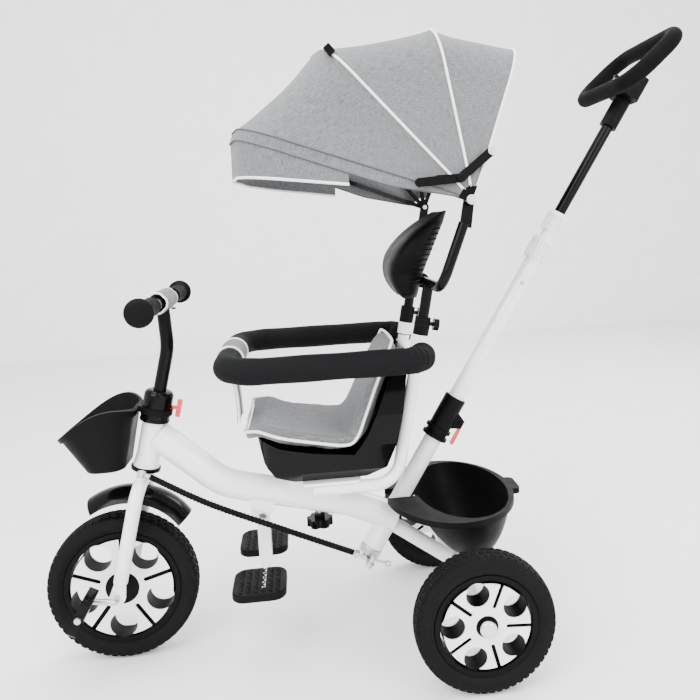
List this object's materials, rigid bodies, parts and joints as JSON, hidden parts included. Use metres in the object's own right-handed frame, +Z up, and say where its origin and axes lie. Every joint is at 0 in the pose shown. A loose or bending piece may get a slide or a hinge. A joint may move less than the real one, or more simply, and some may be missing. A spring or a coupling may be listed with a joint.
{
  "type": "children's push tricycle",
  "caption": "Children's tricycle with a steerable push pole, folding canopy, padded guard bar, bucket seat, footrest and baskets.",
  "frame": {"origin": "on the ground under the middle of the tricycle", "axes": "+Y towards the rear, +X towards the child's left, +Z up"},
  "size_m": [0.474, 1.1085, 1.0377],
  "materials": {
    "white_paint": "gloss",
    "black_paint": "gloss",
    "zinc": "plated",
    "chrome": "polished",
    "tyre": "matt",
    "black_matt": "matt",
    "black_gloss": "gloss",
    "white_plastic": "gloss",
    "red_plastic": "gloss",
    "foam": "foam",
    "grey_fabric": "woven",
    "black_fabric": "woven"
  },
  "bodies": {
    "frame": {"main_frame": "white_paint", "head_cups": "black_gloss", "rear_axle": "chrome", "frame_bolts": "zinc", "seat_frame": "white_paint", "seat_shell": "black_gloss", "seat_pad": "grey_fabric", "guard_bar": "black_fabric", "guard_band": "grey_fabric", "rear_basket": "black_matt", "post_collars": "black_matt"},
    "steered_front": {"fork": "white_paint", "fender": "black_gloss", "stem_collar": "black_gloss", "handlebar": "black_paint", "grips": "black_matt", "bar_pad": "grey_fabric", "front_basket": "black_matt"},
    "wing_knob": {"wing_knob": "red_plastic"},
    "front_wheel": {"front_tyre": "tyre", "front_rim": "black_matt", "front_discs": "white_plastic", "crank_axle": "zinc"},
    "pedal_left": {"pedal_left": "black_gloss"},
    "pedal_right": {"pedal_right": "black_gloss"},
    "steering_link": {"link_sleeve": "black_matt", "link_rod": "zinc"},
    "pole_base": {"pole_arm": "zinc", "pole_sleeve": "black_matt", "lower_pole_tube": "white_paint"},
    "release_trigger": {"release_trigger": "red_plastic"},
    "lower_collar": {"lower_twist_collar": "white_plastic"},
    "pole_middle": {"mid_pole_tube": "white_paint"},
    "upper_collar": {"upper_twist_collar": "white_plastic"},
    "pole_top": {"upper_pole_tube": "black_paint", "handle_hub": "black_matt", "handle_loop": "foam"},
    "rear_wheel_left": {"rear_tyre_left": "tyre", "rear_rim_left": "black_matt", "rear_discs_left": "white_plastic"},
    "rear_wheel_right": {"rear_tyre_right": "tyre", "rear_rim_right": "black_matt", "rear_discs_right": "white_plastic"},
    "footrest": {"footrest_frame": "white_paint", "footrest_pads": "black_matt"},
    "seat_knob": {"seat_knob": "black_gloss"},
    "collar_knob_left": {"collar_knob_left": "black_gloss"},
    "collar_knob_right": {"collar_knob_right": "black_gloss"},
    "canopy_carrier": {"canopy_yoke": "black_paint", "canopy_rivets": "zinc", "canopy_rear_panel": "grey_fabric"},
    "headrest": {"headrest": "black_matt"},
    "second_bow": {"second_bow": "black_paint", "canopy_middle_panel": "grey_fabric"},
    "first_bow": {"first_bow": "black_paint", "canopy_front_panel": "grey_fabric"},
    "front_bow": {"front_bow": "black_paint", "canopy_visor": "grey_fabric"},
    "front_stays": {"front_stays": "black_paint"},
    "rear_stays": {"rear_stays": "black_paint"}
  },
  "joints": [
    {"name": "steering", "type": "hinge", "parent": "frame", "child": "steered_front", "pos_m": [0, -0.427, 0.127], "axis": [0, 0.2453, 0.9694], "range_deg": [-35, 35]},
    {"name": "wing_knob_turn", "type": "hinge", "parent": "steered_front", "child": "wing_knob", "pos_m": [0, -0.3485, 0.43722], "axis": [0, 0.9694, -0.2453], "range_deg": [-170, 170]},
    {"name": "front_wheel_spin", "type": "hinge", "parent": "steered_front", "child": "front_wheel", "pos_m": [0, -0.427, 0.127], "axis": [1, 0, 0], "continuous": true},
    {"name": "pedal_left_spin", "type": "hinge", "parent": "front_wheel", "child": "pedal_left", "pos_m": [0.101, -0.46836, 0.13429], "axis": [1, 0, 0], "continuous": true},
    {"name": "pedal_right_spin", "type": "hinge", "parent": "front_wheel", "child": "pedal_right", "pos_m": [-0.101, -0.38564, 0.11971], "axis": [1, 0, 0], "continuous": true},
    {"name": "link_swing", "type": "hinge", "parent": "steered_front", "child": "steering_link", "pos_m": [0.038, -0.37541, 0.33087], "axis": [0, 0.2453, 0.9694], "range_deg": [-35, 35]},
    {"name": "pole_turn", "type": "hinge", "parent": "frame", "child": "pole_base", "pos_m": [0, 0.061, 0.236], "axis": [0, 0.5314, 0.8471], "range_deg": [-35, 35]},
    {"name": "trigger_press", "type": "hinge", "parent": "pole_base", "child": "release_trigger", "pos_m": [0, 0.17358, 0.3637], "axis": [1, 0, 0], "range_deg": [-8, 0], "stiffness_Nm_per_rad": 0.5},
    {"name": "lower_collar_twist", "type": "hinge", "parent": "pole_base", "child": "lower_collar", "pos_m": [0, 0.061, 0.236], "axis": [0, 0.5314, 0.8471], "range_deg": [-45, 45]},
    {"name": "pole_middle_slide", "type": "slide", "parent": "pole_base", "child": "pole_middle", "axis": [0, 0.5314, 0.8471], "range_m": [-0.015, 0.1]},
    {"name": "upper_collar_twist", "type": "hinge", "parent": "pole_middle", "child": "upper_collar", "pos_m": [0, 0.061, 0.236], "axis": [0, 0.5314, 0.8471], "range_deg": [-45, 45]},
    {"name": "pole_top_slide", "type": "slide", "parent": "pole_middle", "child": "pole_top", "axis": [0, 0.5314, 0.8471], "range_m": [-0.165, 0.06]},
    {"name": "rear_wheel_left_spin", "type": "hinge", "parent": "frame", "child": "rear_wheel_left", "pos_m": [0.206, 0.157, 0.1105], "axis": [1, 0, 0], "continuous": true},
    {"name": "rear_wheel_right_spin", "type": "hinge", "parent": "frame", "child": "rear_wheel_right", "pos_m": [-0.206, 0.157, 0.1105], "axis": [1, 0, 0], "continuous": true},
    {"name": "footrest_fold", "type": "hinge", "parent": "frame", "child": "footrest", "pos_m": [0, -0.182, 0.233], "axis": [1, 0, 0], "range_deg": [-60, 0]},
    {"name": "seat_knob_turn", "type": "hinge", "parent": "frame", "child": "seat_knob", "pos_m": [0, -0.084, 0.21], "axis": [0, 0, 1], "range_deg": [-170, 170]},
    {"name": "collar_knob_left_turn", "type": "hinge", "parent": "frame", "child": "collar_knob_left", "pos_m": [0.08, 0.11523, 0.55732], "axis": [0, 0.9795, -0.2014], "range_deg": [-170, 170]},
    {"name": "collar_knob_right_turn", "type": "hinge", "parent": "frame", "child": "collar_knob_right", "pos_m": [-0.08, 0.11523, 0.55732], "axis": [0, 0.9795, -0.2014], "range_deg": [-170, 170]},
    {"name": "canopy_height", "type": "slide", "parent": "frame", "child": "canopy_carrier", "axis": [0, 0.2014, 0.9795], "range_m": [-0.03, 0.06]},
    {"name": "headrest_tilt", "type": "hinge", "parent": "canopy_carrier", "child": "headrest", "pos_m": [0, 0.1155, 0.6246], "axis": [1, 0, 0], "range_deg": [-12, 12]},
    {"name": "second_bow_fold", "type": "hinge", "parent": "canopy_carrier", "child": "second_bow", "pos_m": [0, 0.162, 0.754], "axis": [-1, 0, 0], "range_deg": [0, 20], "deforming": ["canopy_rear_panel", "canopy_middle_panel"]},
    {"name": "first_bow_fold", "type": "hinge", "parent": "second_bow", "child": "first_bow", "pos_m": [0, 0.162, 0.754], "axis": [-1, 0, 0], "range_deg": [0, 28], "deforming": ["canopy_front_panel"]},
    {"name": "front_bow_fold", "type": "hinge", "parent": "first_bow", "child": "front_bow", "pos_m": [0, 0.162, 0.754], "axis": [-1, 0, 0], "range_deg": [0, 26]},
    {"name": "front_stays_fold", "type": "hinge", "parent": "front_bow", "child": "front_stays", "pos_m": [0, 0.084, 0.781], "axis": [-1, 0, 0], "range_deg": [0, 28]},
    {"name": "rear_stays_fold", "type": "hinge", "parent": "canopy_carrier", "child": "rear_stays", "pos_m": [0, 0.1925, 0.822], "axis": [1, 0, 0], "range_deg": [0, 13]}
  ],
  "couplings": [
    {"joint": "link_swing", "follows": "steering", "ratio": -1},
    {"joint": "pole_turn", "follows": "steering", "ratio": 1},
    {"joint": "first_bow_fold", "follows": "second_bow_fold", "ratio": 1.4},
    {"joint": "front_bow_fold", "follows": "second_bow_fold", "ratio": 1.3},
    {"joint": "front_stays_fold", "follows": "second_bow_fold", "ratio": 1.4},
    {"joint": "rear_stays_fold", "follows": "second_bow_fold", "ratio": 0.65}
  ]
}
